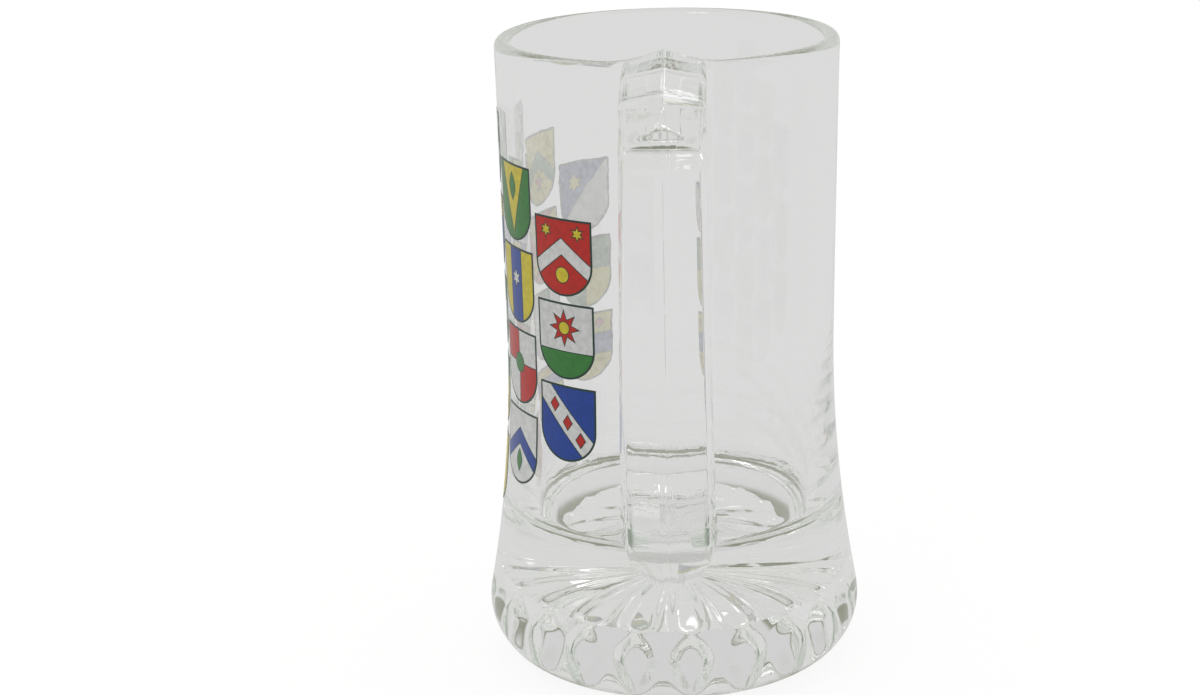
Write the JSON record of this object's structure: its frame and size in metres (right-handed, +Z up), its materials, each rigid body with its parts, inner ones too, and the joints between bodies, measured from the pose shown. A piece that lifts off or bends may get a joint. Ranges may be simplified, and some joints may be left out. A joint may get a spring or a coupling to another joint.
{
  "type": "glass beer mug",
  "caption": "Clear pressed-glass beer mug with a flared star foot, a straight bevelled handle and a printed cluster of plain coloured shields; holds a drink.",
  "frame": {"origin": "on the table, under the middle of the overall box", "axes": "+Z up along the mug's axis, +X towards the handle, -Y towards the print"},
  "size_m": [0.1245, 0.092, 0.158],
  "materials": {
    "clear_glass": "fire-polished clear soda-lime glass with a faint green edge",
    "enamel_red": "glossy red screen-printed enamel, fired on",
    "enamel_blue": "glossy blue screen-printed enamel, fired on",
    "enamel_yellow": "glossy yellow screen-printed enamel, fired on",
    "enamel_green": "glossy green screen-printed enamel, fired on",
    "enamel_white": "glossy white screen-printed enamel, fired on"
  },
  "bodies": {
    "root": {"glass_body": "clear_glass", "handle": "clear_glass", "shield_1_1_blue": "enamel_blue", "shield_1_2_green": "enamel_green", "shield_1_3_yellow": "enamel_yellow", "shield_2_1_yellow": "enamel_yellow", "shield_2_2_red": "enamel_red", "shield_2_3_white": "enamel_white", "shield_2_4_blue": "enamel_blue", "shield_3_1_white": "enamel_white", "shield_3_2_blue": "enamel_blue", "shield_3_3_green": "enamel_green", "shield_3_4_yellow": "enamel_yellow", "shield_3_5_red": "enamel_red", "shield_4_1_green": "enamel_green", "shield_4_2_yellow": "enamel_yellow", "shield_4_3_red": "enamel_red", "shield_4_4_white": "enamel_white", "shield_5_1_red": "enamel_red", "shield_5_2_white": "enamel_white", "shield_5_3_blue": "enamel_blue"}
  },
  "joints": []
}
